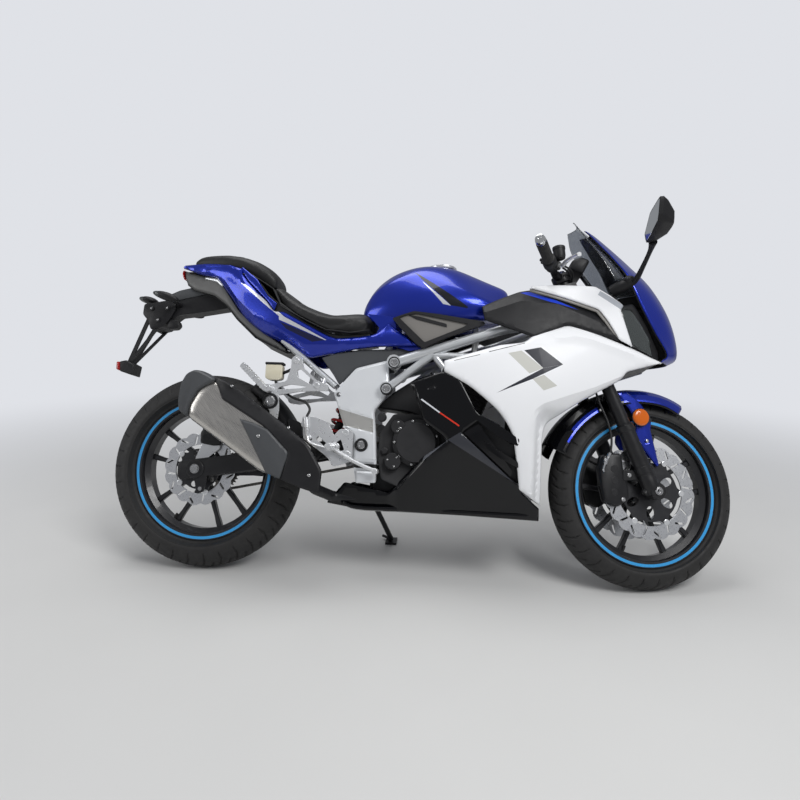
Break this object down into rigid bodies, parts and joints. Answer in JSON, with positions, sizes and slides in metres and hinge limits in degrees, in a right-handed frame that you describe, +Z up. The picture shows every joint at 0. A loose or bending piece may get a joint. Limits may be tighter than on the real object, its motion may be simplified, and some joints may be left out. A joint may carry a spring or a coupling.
{
  "type": "sport motorcycle",
  "caption": "Fully faired sport motorcycle on its side stand, with turning wheels, steering and folding stand.",
  "frame": {"origin": "centre of the bounding box at floor level, under the parked machine", "axes": "+X forward along the machine, +Y to the rider's left (the side it leans to), +Z up"},
  "size_m": [2.0566, 0.8912, 1.1961],
  "materials": {
    "tyre_rubber": "satin black rubber",
    "black_alloy": "gloss black painted alloy with a light blue rim stripe",
    "disc_steel": "ground brake steel",
    "chain_steel": "oiled steel",
    "frame_silver": "silver paint",
    "black_metal": "satin black paint",
    "engine_black": "satin black casting",
    "bare_alloy": "cast and machined alloy",
    "stainless": "brushed stainless",
    "blue_paint": "metallic blue lacquer",
    "white_paint": "white gloss lacquer",
    "black_gloss": "black gloss lacquer",
    "dark_plastic": "textured dark plastic",
    "grey_plastic": "satin grey plastic",
    "seat_cover": "black vinyl",
    "clear_screen": "clear acrylic",
    "lamp_lens": "smoked lens",
    "lamp_red": "red and amber lens",
    "hose_black": "braided hose"
  },
  "bodies": {
    "chassis": {"main_frame": "frame_silver", "pivot_plates": "frame_silver", "swingarm": "black_metal", "shock": "black_metal", "engine": "engine_black", "radiator": "black_metal", "exhaust_pipe": "stainless", "muffler_body": "stainless", "muffler_end_cap": "black_metal", "muffler_shield": "dark_plastic", "subframe": "frame_silver", "fuel_tank": "blue_paint", "tank_cap": "bare_alloy", "tank_side_panels": "grey_plastic", "tail_fairing": "blue_paint", "tail_undertray": "grey_plastic", "rear_lamps": "lamp_red", "plate_bracket": "dark_plastic", "side_fairings": "white_paint", "upper_fairing": "white_paint", "intake_covers": "dark_plastic", "headlamps": "lamp_lens", "nose_cowl": "blue_paint", "windscreen": "clear_screen", "instruments": "dark_plastic", "lower_fairing": "black_gloss", "mirrors": "dark_plastic", "rider_footrests": "bare_alloy", "passenger_footrests": "bare_alloy", "rear_caliper": "black_metal", "chain": "chain_steel", "stand_bracket": "black_metal", "rider_seat": "seat_cover", "pillion_seat": "seat_cover"},
    "steering": {"fork_legs": "black_metal", "triple_clamps": "black_metal", "handlebars": "black_metal", "controls": "black_metal", "front_fender": "blue_paint", "front_calipers": "black_metal", "brake_hose": "hose_black"},
    "front_wheel": {"front_tyre": "tyre_rubber", "front_rim": "black_alloy", "front_discs": "disc_steel"},
    "rear_wheel": {"rear_tyre": "tyre_rubber", "rear_rim": "black_alloy", "rear_disc": "disc_steel", "rear_sprocket": "chain_steel"},
    "side_stand": {"side_stand": "black_metal"}
  },
  "joints": [
    {"name": "steering_turn", "type": "hinge", "parent": "chassis", "child": "steering", "pos_m": [0.48122, -0.05727, 0.79175], "axis": [-0.3844, 0.2691, 0.8831], "range_deg": [-41.8, 18.2]},
    {"name": "front_wheel_spin", "type": "hinge", "parent": "steering", "child": "front_wheel", "pos_m": [0.73472, -0.20612, 0.28173], "axis": [-0.1908, 0.9127, -0.3612], "continuous": true},
    {"name": "rear_wheel_spin", "type": "hinge", "parent": "chassis", "child": "rear_wheel", "pos_m": [-0.67953, -0.20762, 0.30829], "axis": [-0.0021, 0.9563, -0.2924], "continuous": true},
    {"name": "side_stand_fold", "type": "hinge", "parent": "chassis", "child": "side_stand", "pos_m": [-0.13537, -0.11522, 0.18934], "axis": [0.0554, 0.8976, 0.4374], "range_deg": [0, 92.3]}
  ]
}
